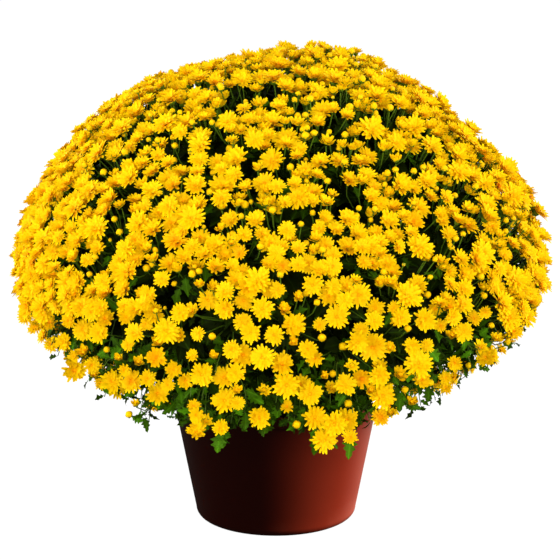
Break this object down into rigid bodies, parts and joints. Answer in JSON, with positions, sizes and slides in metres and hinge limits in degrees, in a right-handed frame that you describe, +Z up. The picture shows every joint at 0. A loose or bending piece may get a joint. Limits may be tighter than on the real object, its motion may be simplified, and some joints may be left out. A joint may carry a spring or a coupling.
{
  "type": "pot chrysanthemum",
  "caption": "Dome of yellow double chrysanthemum heads and lobed leaves on branching stems, growing from soil in a plain tapered round nursery pot.",
  "frame": {"origin": "centre of the pot's flat foot, on the surface it stands on", "axes": "+Z up along the pot's axis, X and Y across the round plant; -Y is the side the seed picture shows"},
  "size_m": [0.6879, 0.6896, 0.6028],
  "materials": {
    "pot_plastic": "satin reddish-brown moulded plastic",
    "potting_soil": "dark crumbly potting mix",
    "woody_stem": "rough grey-brown bark",
    "green_stem": "matt ribbed green stems",
    "leaf_green": "dark green lobed leaves, slightly downy",
    "petal_yellow": "soft golden yellow petals, deeper at the centres"
  },
  "bodies": {
    "root": {"pot": "pot_plastic", "soil": "potting_soil", "root_crown": "woody_stem", "stem_top": "green_stem", "leaves_top": "leaf_green", "blooms_top": "petal_yellow", "stem_upper_01": "green_stem", "leaves_upper_01": "leaf_green", "blooms_upper_01": "petal_yellow", "stem_upper_02": "green_stem", "leaves_upper_02": "leaf_green", "blooms_upper_02": "petal_yellow", "stem_upper_03": "green_stem", "leaves_upper_03": "leaf_green", "blooms_upper_03": "petal_yellow", "stem_upper_04": "green_stem", "leaves_upper_04": "leaf_green", "blooms_upper_04": "petal_yellow", "stem_middle_01": "green_stem", "leaves_middle_01": "leaf_green", "blooms_middle_01": "petal_yellow", "stem_middle_02": "green_stem", "leaves_middle_02": "leaf_green", "blooms_middle_02": "petal_yellow", "stem_middle_03": "green_stem", "leaves_middle_03": "leaf_green", "blooms_middle_03": "petal_yellow", "stem_middle_04": "green_stem", "leaves_middle_04": "leaf_green", "blooms_middle_04": "petal_yellow", "stem_middle_05": "green_stem", "leaves_middle_05": "leaf_green", "blooms_middle_05": "petal_yellow", "stem_middle_06": "green_stem", "leaves_middle_06": "leaf_green", "blooms_middle_06": "petal_yellow", "stem_middle_07": "green_stem", "leaves_middle_07": "leaf_green", "blooms_middle_07": "petal_yellow", "stem_lower_01": "green_stem", "leaves_lower_01": "leaf_green", "blooms_lower_01": "petal_yellow", "stem_lower_02": "green_stem", "leaves_lower_02": "leaf_green", "blooms_lower_02": "petal_yellow", "stem_lower_03": "green_stem", "leaves_lower_03": "leaf_green", "blooms_lower_03": "petal_yellow", "stem_lower_04": "green_stem", "leaves_lower_04": "leaf_green", "blooms_lower_04": "petal_yellow", "stem_lower_05": "green_stem", "leaves_lower_05": "leaf_green", "blooms_lower_05": "petal_yellow", "stem_lower_06": "green_stem", "leaves_lower_06": "leaf_green", "blooms_lower_06": "petal_yellow"}
  },
  "joints": []
}
